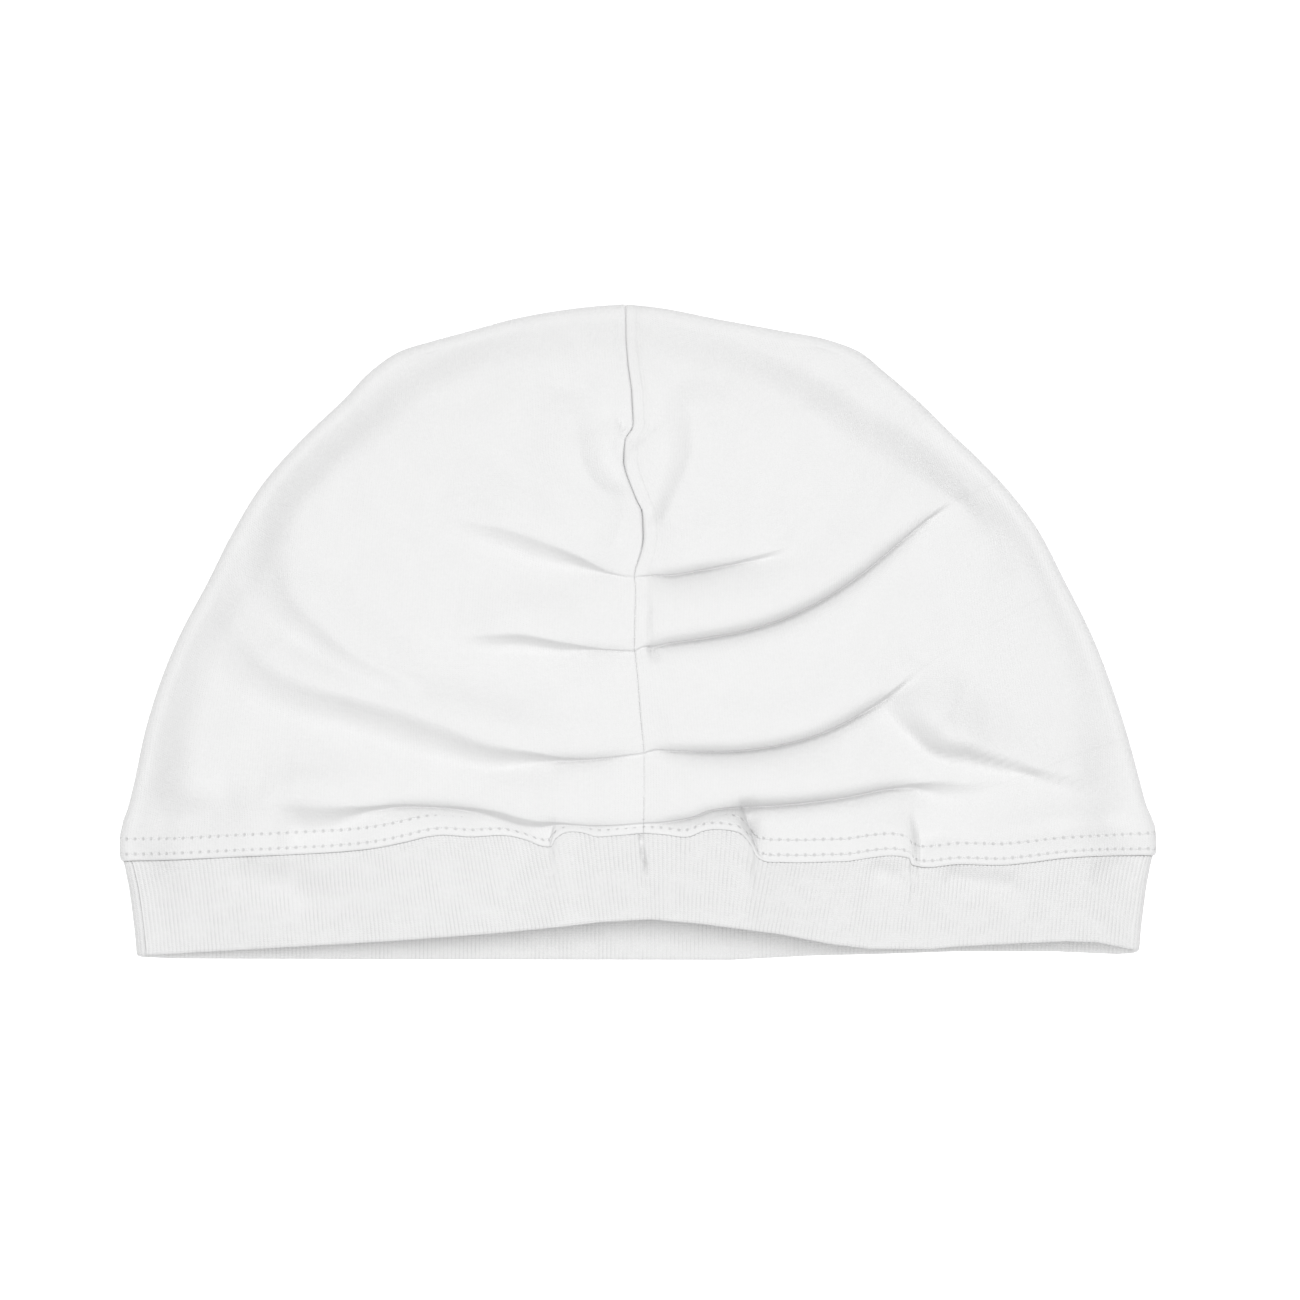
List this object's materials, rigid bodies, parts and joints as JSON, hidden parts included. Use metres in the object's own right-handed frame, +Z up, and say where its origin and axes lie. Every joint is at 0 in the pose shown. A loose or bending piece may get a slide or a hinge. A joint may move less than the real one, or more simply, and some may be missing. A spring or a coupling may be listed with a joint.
{
  "type": "turban cap",
  "caption": "Soft jersey turban cap with a centre seam gathered into pleats at the front and a folded rib band round its open mouth, lying flat on its back.",
  "frame": {"origin": "middle of the cap's box on the surface that its back lies on", "axes": "+X across the cap, towards the right of someone who looks at its front; +Y from the mouth to the apex; +Z up, out of the front"},
  "size_m": [0.26, 0.1644, 0.0158],
  "materials": {
    "jersey": "matt white cotton jersey",
    "rib": "matt white cotton rib, one by one",
    "thread": "white sewing thread"
  },
  "bodies": {
    "root": {"crown_left": "jersey", "crown_right": "jersey", "band": "rib"}
  },
  "joints": []
}
